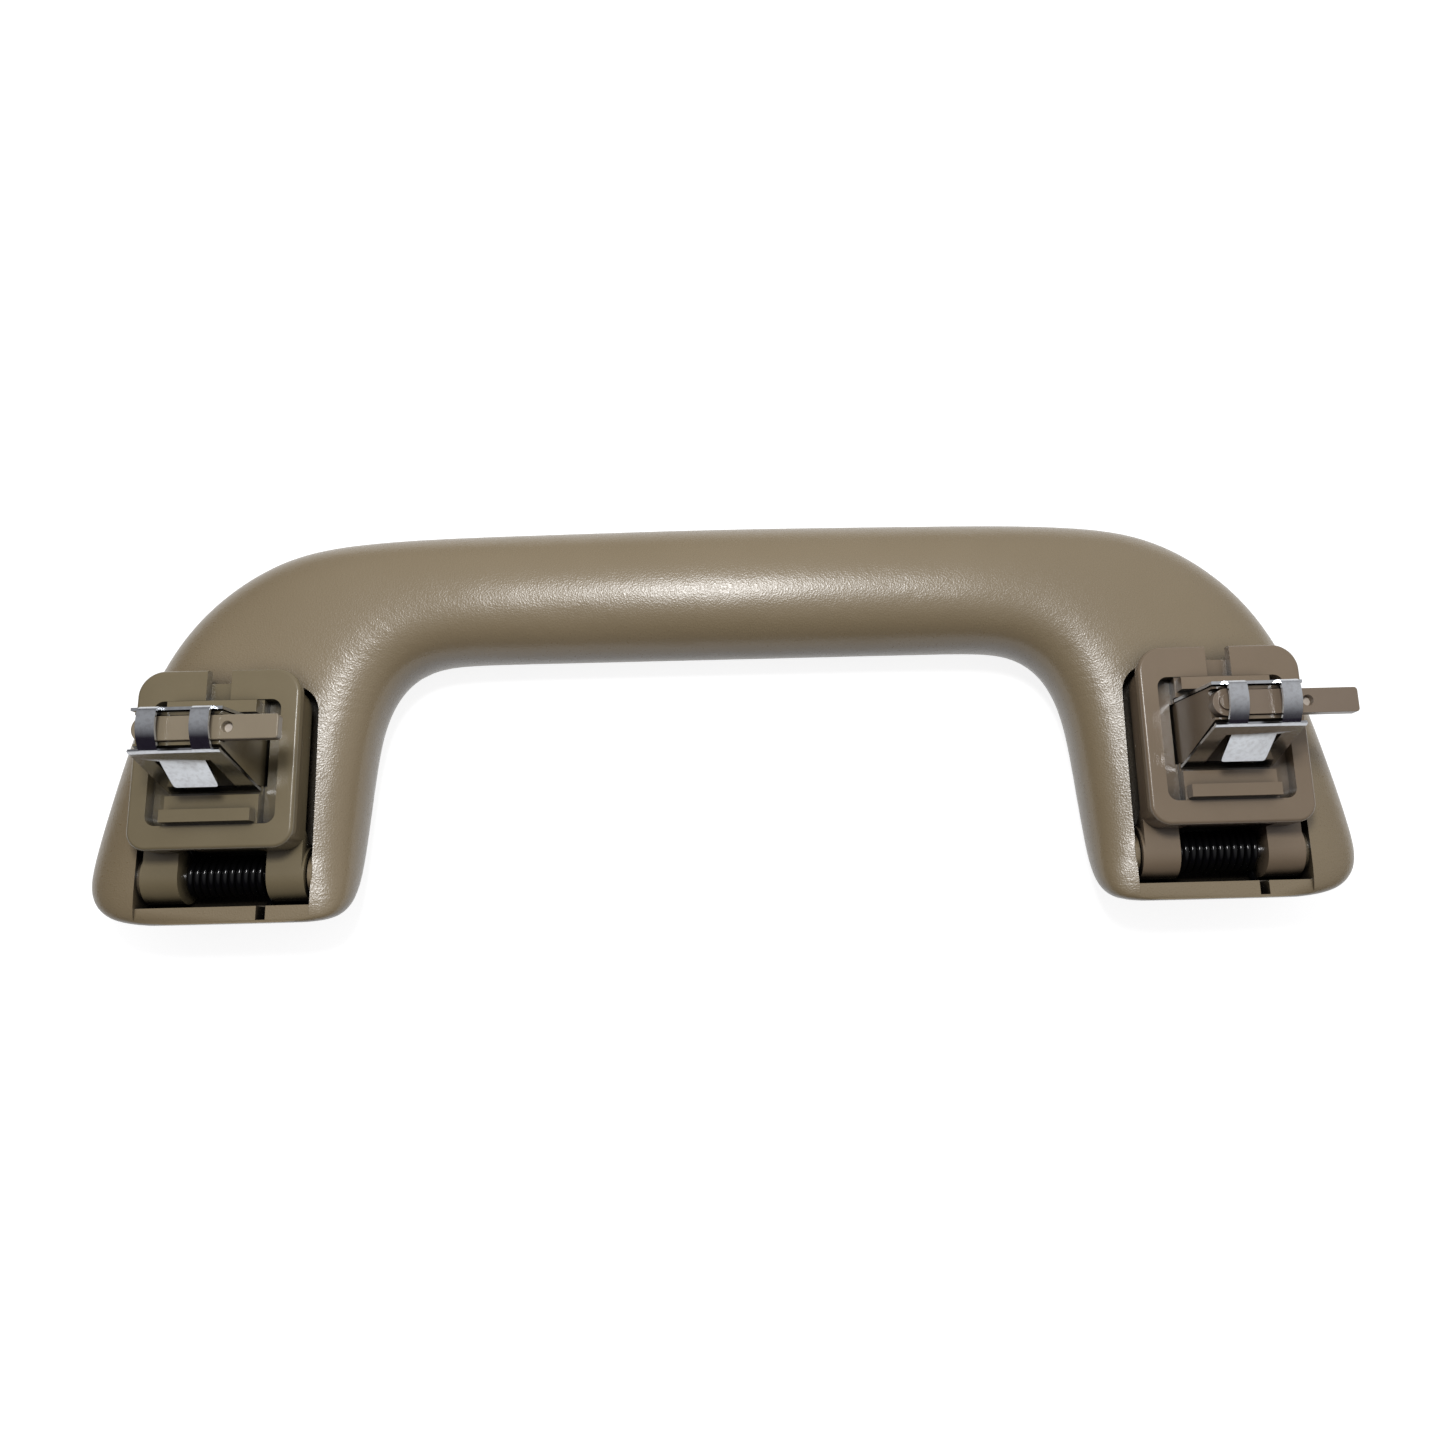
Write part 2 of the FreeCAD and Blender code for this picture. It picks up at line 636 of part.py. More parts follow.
def makeHandle():
    form = doc.addObject("Part::Feature", "handleForm")
    form.Shape = smoothForm()
    voids = [makePocket(side) for side in sides]
    bosses = [makeEarBoss(side, hand) for side in sides for hand in sides]
    hollow = doc.addObject("Part::MultiFuse", "pockets")
    hollow.Shapes = voids
    cut = doc.addObject("Part::Cut", "pocketedForm")
    cut.Base, cut.Tool = form, hollow
    doc.recompute()
    withBosses = doc.addObject("Part::MultiFuse", "earedForm")
    withBosses.Shapes = [cut, *bosses]
    sockets = doc.addObject("Part::MultiFuse", "sockets")
    sockets.Shapes = [makeSocket(side) for side in sides]
    handle = doc.addObject("Part::Cut", "handle")
    handle.Base, handle.Tool = withBosses, sockets
    doc.recompute()
    return handle


def makePocket(side):
    """The room for one bracket: a well, a trough round the knuckles and a notch for the spring's tail."""
    body = doc.addObject("PartDesign::Body", f"{sideNames[side]}Pocket")
    top = f"{bodyTop} + pocketTopGap"
    block(
        body, "well", (f"-{pocketHalf}", pocketHalf, hingeY, top), "-bodyDepth - pocketFloorGap",
        "bodyDepth + pocketFloorGap",
    )
    wide, high = size(pocketHalf), size(top)
    rounded(body, "wellCorners", "pocketCorner", lambda e: upright(e, wide, high))
    trough = newSketch(body, "troughSketch", "YZ_Plane")
    circle(trough, hingeY, hingeZ, "knuckleRadius + troughGap")
    feature(body, "Pad", "trough", trough, f"2 * {pocketHalf}", both=True)
    block(
        body, "mouth", (f"-{pocketHalf}", pocketHalf, endWallInside, hingeY), f"{hingeZ}", "hingeDrop"
    )
    block(
        body, "wallStep", (f"-{pocketHalf}", pocketHalf, f"{endWallInside} - endWall - {past}", endWallInside),
        f"{hingeZ} + hingeReach", "hingeDrop",
    )
    block(
        body, "tailNotch",
        (
            f"{coilEnd} - notchWidth / 2", f"{coilEnd} + notchWidth / 2",
            f"{endWallInside} - endWall + notchSkin", f"{endWallInside} + troughGap",
        ),
        f"{hingeZ} - wireDiameter / 2 - notchGap", "hingeDrop",
    )
    place(side, body)
    return body


def makeEarBoss(side, hand):
    """A low round boss on the pocket's side wall, beside a knuckle."""
    body = doc.addObject("PartDesign::Body", f"{sideNames[side]}Ear{hand + 1}")
    inner = f"{knuckleHalf} + earBossGap"
    sketch = newSketch(body, "earSketch", "YZ_Plane", f"{hand} * ({inner})")
    circle(sketch, hingeY, hingeZ, "earBossRadius")
    pad = feature(body, "Pad", "ear", sketch, "pocketGap + earBossRoot")
    pad.Reversed = hand < 0
    place(side, body)
    return body


def makeSocket(side):
    """The blind sockets that hold the pin's two ends."""
    body = doc.addObject("PartDesign::Body", f"{sideNames[side]}Socket")
    sketch = newSketch(body, "socketSketch", "YZ_Plane")
    circle(sketch, hingeY, hingeZ, "pinRadius + pinSeatGap")
    feature(body, "Pad", "socket", sketch, f"2 * ({pocketHalf} + pinSocket)", both=True)
    place(side, body)
    return body


pieces = [makeHandle()]
for side in sides:
    for make in (makeBracket, makeClip, makeStrip, makeSpring, makePin):
        pieces.append(make(side))
doc.recompute()

failed = [t.Label for t in doc.Objects if "Invalid" in t.State or "Error" in t.State]
if failed:
    raise RuntimeError(f"these failed: {failed}")
for piece in pieces:
    shape = piece.Shape
    if shape.isNull() or not shape.isValid() or len(shape.Solids) != 1:
        raise RuntimeError(f"{piece.Label} is not one sound solid: {len(shape.Solids)}")

os.makedirs("parts", exist_ok=True)
for piece in pieces:
    piece.Shape.exportStep(f"parts/{piece.Label}.step")
    box = piece.Shape.BoundBox
    print(f"{piece.Label}: {piece.Shape.Volume:.0f} mm3, z {box.ZMin:.2f} to {box.ZMax:.2f}")
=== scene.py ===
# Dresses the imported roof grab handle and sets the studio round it
import json
import math
import bmesh
import bpy
from mathutils import Matrix, Vector


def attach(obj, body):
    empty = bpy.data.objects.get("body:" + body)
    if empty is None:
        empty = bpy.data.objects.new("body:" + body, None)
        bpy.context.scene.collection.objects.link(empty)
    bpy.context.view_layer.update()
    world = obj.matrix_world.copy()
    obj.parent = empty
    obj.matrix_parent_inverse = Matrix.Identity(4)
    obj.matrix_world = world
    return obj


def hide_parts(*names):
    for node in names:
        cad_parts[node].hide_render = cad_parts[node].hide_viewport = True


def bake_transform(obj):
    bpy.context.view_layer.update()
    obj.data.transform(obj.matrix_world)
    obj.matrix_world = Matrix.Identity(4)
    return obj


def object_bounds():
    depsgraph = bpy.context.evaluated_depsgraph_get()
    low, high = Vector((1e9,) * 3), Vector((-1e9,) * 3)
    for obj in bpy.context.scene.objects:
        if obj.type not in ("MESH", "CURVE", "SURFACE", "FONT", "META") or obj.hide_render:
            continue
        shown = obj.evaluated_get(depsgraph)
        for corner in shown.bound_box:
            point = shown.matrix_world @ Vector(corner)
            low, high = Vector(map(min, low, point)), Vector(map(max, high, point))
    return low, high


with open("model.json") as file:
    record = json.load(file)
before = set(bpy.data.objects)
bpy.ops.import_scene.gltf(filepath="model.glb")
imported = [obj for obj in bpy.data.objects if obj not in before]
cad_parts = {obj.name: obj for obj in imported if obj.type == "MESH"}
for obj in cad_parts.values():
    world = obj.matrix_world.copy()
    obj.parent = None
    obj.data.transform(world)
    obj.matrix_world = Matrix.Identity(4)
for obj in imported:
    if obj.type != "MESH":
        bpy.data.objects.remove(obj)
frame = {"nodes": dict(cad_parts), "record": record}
cadBox = [list(corner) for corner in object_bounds()]
scene = bpy.context.scene
nodes = frame["nodes"]
bodyOf = {node: body for body, members in frame["record"]["behaviour"]["bodies"].items() for node in members}
sides = {"left": -0.094, "right": 0.094}  # each bracket's place along the handle
print("frame loaded")


# Shared shader groups

def newGroup(name, inputs, outputs):
    tree = bpy.data.node_groups.new(name, "ShaderNodeTree")
    for label, kind, value in inputs:
        socket = tree.interface.new_socket(label, in_out="INPUT", socket_type=kind)
        if value is not None:
            socket.default_value = value
    for label, kind in outputs:
        tree.interface.new_socket(label, in_out="OUTPUT", socket_type=kind)
    return tree, tree.nodes.new("NodeGroupInput"), tree.nodes.new("NodeGroupOutput")


def addNode(tree, kind, **settings):
    node = tree.nodes.new(kind)
    for key, value in settings.items():
        if key in node.bl_rna.properties:
            setattr(node, key, value)
        else:
            node.inputs[key.replace("_", " ")].default_value = value
    return node


def makeLeatherGrain():
    # fine pebbles with creases between them, and a slow drift in how deep they are
    tree, source, result = newGroup(
        "leatherGrain",
        [("Pebble size", "NodeSocketFloat", 900.0), ("Drift", "NodeSocketFloat", 0.35)],
        [("Height", "NodeSocketFloat"), ("Crease", "NodeSocketFloat")],
    )
    link = tree.links.new
    at = addNode(tree, "ShaderNodeTexCoord")
    warp = addNode(tree, "ShaderNodeTexNoise", Scale=600.0, Detail=2.0)
    offset = addNode(tree, "ShaderNodeVectorMath", operation="SCALE")
    offset.inputs["Scale"].default_value = 0.0009
    moved = addNode(tree, "ShaderNodeVectorMath", operation="ADD")
    pebbles = addNode(tree, "ShaderNodeTexVoronoi", feature="SMOOTH_F1", Smoothness=0.35)
    fine = addNode(tree, "ShaderNodeTexNoise", Scale=2600.0, Detail=3.0)
    slow = addNode(tree, "ShaderNodeTexNoise", Scale=45.0, Detail=2.0)
    body = addNode(tree, "ShaderNodeMath", operation="MULTIPLY")
    shallow = addNode(tree, "ShaderNodeMath", operation="MULTIPLY_ADD")
    rough = addNode(tree, "ShaderNodeMath", operation="MULTIPLY_ADD")
    rough.inputs[1].default_value = 0.35
    link(at.outputs["Object"], warp.inputs["Vector"])
    link(warp.outputs["Color"], offset.inputs[0])
    link(at.outputs["Object"], moved.inputs[0])
    link(offset.outputs["Vector"], moved.inputs[1])
    link(moved.outputs["Vector"], pebbles.inputs["Vector"])
    link(source.outputs["Pebble size"], pebbles.inputs["Scale"])
    link(at.outputs["Object"], fine.inputs["Vector"])
    link(at.outputs["Object"], slow.inputs["Vector"])
    link(slow.outputs["Fac"], shallow.inputs[0])
    link(source.outputs["Drift"], shallow.inputs[1])
    shallow.inputs[2].default_value = 0.8
    link(pebbles.outputs["Distance"], body.inputs[0])
    link(shallow.outputs["Value"], body.inputs[1])
    link(fine.outputs["Fac"], rough.inputs[0])
    link(body.outputs["Value"], rough.inputs[2])
    link(rough.outputs["Value"], result.inputs["Height"])
    link(body.outputs["Value"], result.inputs["Crease"])
    return tree


def makeTint():
    # a colour that drifts a little between two tones over the piece
    tree, source, result = newGroup(
        "toneDrift",
        [("Light", "NodeSocketColor", (0.3, 0.25, 0.2, 1)), ("Dark", "NodeSocketColor", (0.25, 0.2, 0.15, 1)),
         ("Scale", "NodeSocketFloat", 30.0)],
        [("Color", "NodeSocketColor"), ("Mask", "NodeSocketFloat")],
    )
    link = tree.links.new
    at = addNode(tree, "ShaderNodeTexCoord")
    cloud = addNode(tree, "ShaderNodeTexNoise", Detail=5.0, Roughness=0.6)
    spread = addNode(tree, "ShaderNodeMapRange")
    spread.inputs["From Min"].default_value = 0.3
    spread.inputs["From Max"].default_value = 0.7
    mix = addNode(tree, "ShaderNodeMix", data_type="RGBA")
    link(at.outputs["Object"], cloud.inputs["Vector"])
    link(source.outputs["Scale"], cloud.inputs["Scale"])
    link(cloud.outputs["Fac"], spread.inputs["Value"])
    link(spread.outputs["Result"], mix.inputs["Factor"])
    link(source.outputs["Dark"], mix.inputs[6])
    link(source.outputs["Light"], mix.inputs[7])
    link(mix.outputs[2], result.inputs["Color"])
    link(spread.outputs["Result"], result.inputs["Mask"])
    return tree


leatherGrain = makeLeatherGrain()
toneDrift = makeTint()


# Materials

def newMaterial(name, **settings):
    material = bpy.data.materials.new(name)
    material.use_nodes = True
    tree = material.node_tree
    shader = tree.nodes["Principled BSDF"]
    for key, value in settings.items():
        shader.inputs[key.replace("_", " ")].default_value = value
    return material, tree, shader


def place(tree, group, **values):
    node = tree.nodes.new("ShaderNodeGroup")
    node.node_tree = group
    for key, value in values.items():
        node.inputs[key.replace("_", " ")].default_value = value
    return node


# painted shade for gaps and recesses: a near-black tone blended in by ambient occlusion
paintedCreviceShade = {"tone": (0.012, 0.01, 0.008, 1), "closed": 0.2, "open": 0.8}


def paintCreviceShade(tree, shader, output, reach, v=paintedCreviceShade):
    # painted shade: the base colour turns darker where ambient occlusion finds close walls within this reach,
    # standing in for the shade deep in gaps and recesses
    near = addNode(tree, "ShaderNodeAmbientOcclusion", samples=8, Distance=reach)
    ramp = addNode(tree, "ShaderNodeMapRange")
    ramp.inputs["From Min"].default_value = v["closed"]
    ramp.inputs["From Max"].default_value = v["open"]
    mix = addNode(tree, "ShaderNodeMix", data_type="RGBA")
    mix.inputs[6].default_value = v["tone"]
    tree.links.new(near.outputs["AO"], ramp.inputs["Value"])
    tree.links.new(ramp.outputs["Result"], mix.inputs["Factor"])
    tree.links.new(output, mix.inputs[7])
    tree.links.new(mix.outputs[2], shader.inputs["Base Color"])


def bumpFrom(tree, shader, output, strength, distance):
    bump = addNode(tree, "ShaderNodeBump", Strength=strength, Distance=distance)
    tree.links.new(output, bump.inputs["Height"])
    tree.links.new(bump.outputs["Normal"], shader.inputs["Normal"])


grainedPlastic = {
    "light": (0.24, 0.186, 0.112, 1),
    "dark": (0.218, 0.167, 0.097, 1),
    "roughness": 0.3,
    "specular": 0.72,
    "glossDrop": 0.06,  # rougher in the creases
    "glossRise": 0.05,  # smoother on the pebbles
    "drift": 22.0,
    "pebble": 2900.0,
    "relief": 0.00005,
    "reliefShare": 0.55,
    # how far the painted shade in gaps and pockets reaches
    "paintedShadeReach": 0.011,
}


def makeGrainedPlastic(v=grainedPlastic):
    material, tree, shader = newMaterial(
        "grainedPlastic", Roughness=v["roughness"], IOR=1.48, Specular_IOR_Level=v["specular"]
    )
    tone = place(tree, toneDrift, Light=v["light"], Dark=v["dark"], Scale=v["drift"])
    grain = place(tree, leatherGrain, Pebble_size=v["pebble"])
    # painted shade: gaps and pockets get a darker base colour
    paintCreviceShade(tree, shader, tone.outputs["Color"], v["paintedShadeReach"])
    bumpFrom(tree, shader, grain.outputs["Height"], v["reliefShare"], v["relief"])
    gloss = addNode(tree, "ShaderNodeMapRange")
    gloss.inputs["To Min"].default_value = v["roughness"] + v["glossDrop"]
    gloss.inputs["To Max"].default_value = v["roughness"] - v["glossRise"]
    tree.links.new(grain.outputs["Crease"], gloss.inputs["Value"])
    tree.links.new(gloss.outputs["Result"], shader.inputs["Roughness"])
    return material


mouldedPlastics = {
    "leftBracket": {"light": (0.189, 0.153, 0.09, 1), "dark": (0.167, 0.134, 0.076, 1), "roughness": 0.26},
    "rightBracket": {"light": (0.212, 0.159, 0.107, 1), "dark": (0.19, 0.142, 0.093, 1), "roughness": 0.26},
    "leftStrip": {"light": (0.255, 0.21, 0.146, 1), "dark": (0.225, 0.183, 0.125, 1), "roughness": 0.33},
    "rightStrip": {"light": (0.2, 0.153, 0.111, 1), "dark": (0.18, 0.136, 0.096, 1), "roughness": 0.33},
}
# the reach key sets how far the brackets' painted shade in gaps reaches
mouldedSkin = {"drift": 60.0, "paintedShadeReach": 0.0035, "grain": 1400.0, "relief": 0.0001, "reliefShare": 0.12}
# painted light in the strip's hole: where the paler disc lies and its colour
stripHoleLight = {"x": 0.00875, "y": 0.0026, "radius": 0.00082, "below": 0.0143, "floor": (0.5, 0.44, 0.38, 1)}


def paintHoleLight(tree, output, middle, v=stripHoleLight):
    # painted light: a paler disc on the floor of the strip's blind hole stands in for the light that shows in the
    # hole
    at = addNode(tree, "ShaderNodeTexCoord")
    split = addNode(tree, "ShaderNodeSeparateXYZ")
    flat = addNode(tree, "ShaderNodeCombineXYZ")
    away = addNode(tree, "ShaderNodeVectorMath", operation="DISTANCE")
    away.inputs[1].default_value = (middle + v["x"], v["y"], 0)
    inside = addNode(tree, "ShaderNodeMath", operation="LESS_THAN")
    inside.inputs[1].default_value = v["radius"]
    deep = addNode(tree, "ShaderNodeMath", operation="LESS_THAN")
    deep.inputs[1].default_value = v["below"]
    both = addNode(tree, "ShaderNodeMath", operation="MULTIPLY")
    mix = addNode(tree, "ShaderNodeMix", data_type="RGBA")
    mix.inputs[7].default_value = v["floor"]
    link = tree.links.new
    link(at.outputs["Object"], split.inputs["Vector"])
    link(split.outputs["X"], flat.inputs["X"])
    link(split.outputs["Y"], flat.inputs["Y"])
    link(flat.outputs["Vector"], away.inputs[0])
    link(away.outputs["Value"], inside.inputs[0])
    link(split.outputs["Z"], deep.inputs[0])
    link(inside.outputs["Value"], both.inputs[0])
    link(deep.outputs["Value"], both.inputs[1])
    link(both.outputs["Value"], mix.inputs["Factor"])
    link(output, mix.inputs[6])
    return mix.outputs[2]


def makeMouldedPlastic(side, kind, skinOf=mouldedSkin):
    v = mouldedPlastics[side + kind]
    material, tree, shader = newMaterial(f"{side}{kind}Plastic", Roughness=v["roughness"], IOR=1.47)
    tone = place(tree, toneDrift, Light=v["light"], Dark=v["dark"], Scale=skinOf["drift"])
    if kind == "Strip":
        # painted light: a paler disc in the hole
        holeLit = paintHoleLight(tree, tone.outputs["Color"], sides[side])
        tree.links.new(holeLit, shader.inputs["Base Color"])
    else:
        # painted shade: the brackets' gaps and recesses get a darker base colour
        paintCreviceShade(tree, shader, tone.outputs["Color"], skinOf["paintedShadeReach"])
    at = addNode(tree, "ShaderNodeTexCoord")
    skin = addNode(tree, "ShaderNodeTexNoise", Scale=skinOf["grain"], Detail=4.0)
    tree.links.new(at.outputs["Object"], skin.inputs["Vector"])
    bumpFrom(tree, shader, skin.outputs["Fac"], skinOf["reliefShare"], skinOf["relief"])
    return material


zincSheet = {
    "base": (0.5, 0.52, 0.545, 1),
    "dull": (0.44, 0.45, 0.47, 1),
    "worn": (0.36, 0.36, 0.37, 1),
    "specks": 1300.0,
    "speckFrom": 0.46,
    "speckTo": 0.66,
    "speckShare": 0.5,
    "drift": 180.0,
    "roughness": 0.1,
    "dullRise": 0.1,
}


def makeZincSheet(v=zincSheet):
    material, tree, shader = newMaterial("zincSheet", Metallic=1.0, Roughness=v["roughness"])
    tone = place(tree, toneDrift, Light=v["base"], Dark=v["dull"], Scale=v["drift"])
    # fine grey specks where the plating is worn
    at = addNode(tree, "ShaderNodeTexCoord")
    speck = addNode(tree, "ShaderNodeTexNoise", Scale=v["specks"], Detail=3.0)
    worn = addNode(tree, "ShaderNodeMapRange")
    worn.inputs["From Min"].default_value = v["speckFrom"]
    worn.inputs["From Max"].default_value = v["speckTo"]
    worn.inputs["To Max"].default_value = v["speckShare"]
    mix = addNode(tree, "ShaderNodeMix", data_type="RGBA")
    mix.inputs[7].default_value = v["worn"]
    tree.links.new(at.outputs["Object"], speck.inputs["Vector"])
    tree.links.new(speck.outputs["Fac"], worn.inputs["Value"])
    tree.links.new(worn.outputs["Result"], mix.inputs["Factor"])
    tree.links.new(tone.outputs["Color"], mix.inputs[6])
    tree.links.new(mix.outputs[2], shader.inputs["Base Color"])
    gloss = addNode(tree, "ShaderNodeMapRange")
    gloss.inputs["To Min"].default_value = v["roughness"] + v["dullRise"]
    gloss.inputs["To Max"].default_value = v["roughness"]
    tree.links.new(tone.outputs["Mask"], gloss.inputs["Value"])
    tree.links.new(gloss.outputs["Result"], shader.inputs["Roughness"])
    return material


steels = {
    "oiledBlackWire": {"tone": (0.0025, 0.0025, 0.003), "roughness": 0.13, "metallic": 0.0, "specular": 0.3},
    "turnedSteel": {"tone": (0.55, 0.55, 0.56), "roughness": 0.3, "metallic": 1.0, "specular": 0.5},
}
steelDrift = {"scale": 300.0, "darkShare": 0.6}


def makeSteel(name, drift=steelDrift):
    v = steels[name]
    material, tree, shader = newMaterial(
        name, Roughness=v["roughness"], Metallic=v["metallic"], Specular_IOR_Level=v["specular"]
    )
    dark = [part * drift["darkShare"] for part in v["tone"]]
    tone = place(tree, toneDrift, Light=(*v["tone"], 1), Dark=(*dark, 1), Scale=drift["scale"])
    tree.links.new(tone.outputs["Color"], shader.inputs["Base Color"])
    return material


materials = {
    "handle": makeGrainedPlastic(),
    "left_bracket": makeMouldedPlastic("left", "Bracket"),
    "right_bracket": makeMouldedPlastic("right", "Bracket"),
    "left_strip": makeMouldedPlastic("left", "Strip"),
    "right_strip": makeMouldedPlastic("right", "Strip"),
    "clip": makeZincSheet(),
    "spring": makeSteel("oiledBlackWire"),
    "pin": makeSteel("turnedSteel"),
}
print("materials ready")


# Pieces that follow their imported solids: all but the handle get the mould's soft edges

edges = {  # angles in degrees
    "handle": {"sharp": 50},
    "bracket": {"width": 0.00025, "segments": 3, "above": 30, "sharp": 40},
    "strip": {"width": 0.00032, "segments": 3, "above": 30, "sharp": 40},
    "clip": {"width": 0.00009, "segments": 2, "above": 60, "sharp": 55},
    "pin": {"width": 0.00008, "segments": 2, "above": 35, "sharp": 40},
}
weld = {"within": 2e-6, "flatTo": 0.4}  # metres and degrees


def softened(nodeName, kind, v, mesh=None):
    # the node's mesh or the given one, its loose triangles joined, flat areas merged and edges rounded
    mesh = mesh or nodes[nodeName].data.copy()
    piece = bpy.data.objects.new(f"{nodeName}_dressed", mesh)
    scene.collection.objects.link(piece)
    work = bmesh.new()
    work.from_mesh(mesh)
    bmesh.ops.remove_doubles(work, verts=work.verts, dist=weld["within"])
    bmesh.ops.dissolve_limit(
        work, angle_limit=math.radians(weld["flatTo"]), verts=work.verts, edges=work.edges, delimit=set()
    )
    for face in work.faces:
        face.smooth = True
    for edge in work.edges:
        if len(edge.link_faces) == 2:
            edge.smooth = edge.calc_face_angle() < math.radians(v["sharp"])
    work.to_mesh(mesh)
    work.free()
    mesh.materials.clear()
    mesh.materials.append(materials.get(nodeName) or materials[kind])
    if "width" in v:
        bevel = piece.modifiers.new("softEdges", "BEVEL")
        bevel.width = v["width"]
        bevel.segments = v["segments"]
        bevel.limit_method = "ANGLE"
        bevel.angle_limit = math.radians(v["above"])
        bevel.harden_normals = True
    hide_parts(nodeName)
    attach(piece, bodyOf[nodeName])


for nodeName in nodes:
    kind = nodeName.split("_")[-1]
    if kind not in ("spring", "clip"):
        softened(nodeName, kind, edges[kind])
print("moulded pieces dressed")


# Spring clips: one bent sheet, from the back foot over two straps to the front leg and its tongue

clip = {
    "thick": 0.00055,
    "path": [  # y, z and how far each bend reaches along its sides
        (0.00663, -0.0016, 0), (0.00593, 0.0166, 0.0013), (0.0017, 0.01708, 0.0021),
        (-0.00142, 0.01512, 0.0009), (-0.00197, 0.01293, 0.0006), (-0.00604, -0.0016, 0),
    ],
    "step": 0.0003,
    "half": 0.0085,
    "topHalf": 0.00795,
    "straps": ((-0.00585, -0.00255), (0.00335, 0.00665)),
    "strapsAbove": 0.015,
    "windowHalf": 0.0049,
    "windowRoof": 0.0115,
    "tongueHalf": 0.004,
    "tongueTip": (-0.00618, 0.00555),
    "tipRadius": 0.0006,
    "bendParts": 10,
    "tongueParts": 12,
    "tipStops": [0.5, 0.7, 0.85, 0.93, 0.98, 1.0],  # how far round the tip's corner each row lies
}


def runTo(stops, end, step):
    start = stops[-1].copy()
    count = max(1, round((end - start).length / step))
    stops.extend(start.lerp(end, part / count) for part in range(1, count + 1))


def bentPath(v):
    # the straight runs between the corners, with a parabola at each bend
    corners, step = v["path"], v["step"]
    stops = [Vector(corners[0][:2])]
    for before, corner, after in zip(corners, corners[1:], corners[2:]):
        at = Vector(corner[:2])
        come = at + (Vector(before[:2]) - at).normalized() * corner[2]
        go = at + (Vector(after[:2]) - at).normalized() * corner[2]
        runTo(stops, come, step)
        for part in range(1, v["bendParts"] + 1):
            t = part / v["bendParts"]
            stops.append(come * (1 - t) ** 2 + at * 2 * t * (1 - t) + go * t ** 2)
    runTo(stops, Vector(corners[-1][:2]), step)
    return stops


def clipMesh(side, v=clip):
    stops = bentPath(v)
    front = [row for row, stop in enumerate(stops) if stop.x < 0]
    root = min(front, key=lambda row: abs(stops[row].y - v["windowRoof"]))
    foot, shoulder, roof = v["path"][0][1], v["path"][4][1], stops[root].y
    inside = sorted([x for strap in v["straps"] for x in strap]
                    + [hand * v[name] for hand in (-1, 1) for name in ("windowHalf", "tongueHalf")])
    work = bmesh.new()

    def row(y, z, places):
        return [work.verts.new((sides[side] + x, y, z)) for x in places]

    grid = []
    for y, z in stops:
        rise = min(1.0, (z - foot) / (shoulder - foot))
        edge = v["half"] + (v["topHalf"] - v["half"]) * rise
        grid.append((row(y, z, (-edge, *inside, edge)), (-edge, *inside, edge)))
    for (lower, places), (upper, _) in zip(grid, grid[1:]):
        y, z = (lower[0].co.y + upper[0].co.y) / 2, (lower[0].co.z + upper[0].co.z) / 2
        for at in range(len(lower) - 1):
            x = (places[at] + places[at + 1]) / 2
            onStrap = any(left < x < right for left, right in v["straps"])
            inWindow = y < 0 and 0 < z < roof and abs(x) < v["windowHalf"]
            if (onStrap or z < v["strapsAbove"]) and not inWindow:
                work.faces.new((lower[at], lower[at + 1], upper[at + 1], upper[at]))

    # the tongue carries on from the window's roof, with rounded corners at its tip
    first = 1 + inside.index(-v["tongueHalf"])
    last = 1 + inside.index(v["tongueHalf"])
    lower, places = grid[root][0][first:last + 1], grid[root][1][first:last + 1]
    start, tip, radius = stops[root], Vector(v["tongueTip"]), v["tipRadius"]
    length = (tip - start).length
    parts = v["tongueParts"]
    straight = [length * (1 - part / parts) for part in range(1, parts - 1)]
    for short in straight + [radius * (1 - part) for part in v["tipStops"]]:
        spot = tip + (start - tip) * (short / length)
        corner = max(0.0, radius - short)
        half = v["tongueHalf"] - radius + math.sqrt(radius ** 2 - corner ** 2)
        upper = row(spot.x, spot.y, (-half, *places[1:-1], half))
        for at in range(len(lower) - 1):
            work.faces.new((lower[at], lower[at + 1], upper[at + 1], upper[at]))
        lower = upper
    loose = [vert for vert in work.verts if not vert.link_faces]
    bmesh.ops.delete(work, geom=loose, context="VERTS")
    mesh = bpy.data.meshes.new("clipSheet")
    work.to_mesh(mesh)
    work.free()

    carrier = bpy.data.objects.new("clipSheet", mesh)
    scene.collection.objects.link(carrier)
    wall = carrier.modifiers.new("wall", "SOLIDIFY")
    wall.thickness = v["thick"]
    wall.offset = 0
    wall.use_even_offset = True
    bpy.context.view_layer.update()
    solid = bpy.data.meshes.new_from_object(carrier.evaluated_get(bpy.context.evaluated_depsgraph_get()))
    bpy.data.objects.remove(carrier)
    turned = bmesh.new()
    turned.from_mesh(solid)
    bmesh.ops.recalc_face_normals(turned, faces=turned.faces)
    turned.to_mesh(solid)
    turned.free()
    return solid


for side in sides:
    softened(f"{side}_clip", "clip", edges["clip"], clipMesh(side))
print("clips bent")


# Torsion springs: one wire that follows a helix, with a straight leg and a straight tail

spring = {
    "axis": (-0.0209, -0.01155),  # the hinge's y and z
    "coilRadius": 0.0033,
    "wireRadius": 0.00063,
    "pitch": 0.00131,
    "turns": 11.2594,
    "start": -0.00752,  # from the bracket's middle
    "startAngle": -30.0,
    "endAngle": -123.4,
    "leg": 0.0074,
    "tail": 0.0074,
    "pointsPerTurn": 40,
    "sides": 14,
}


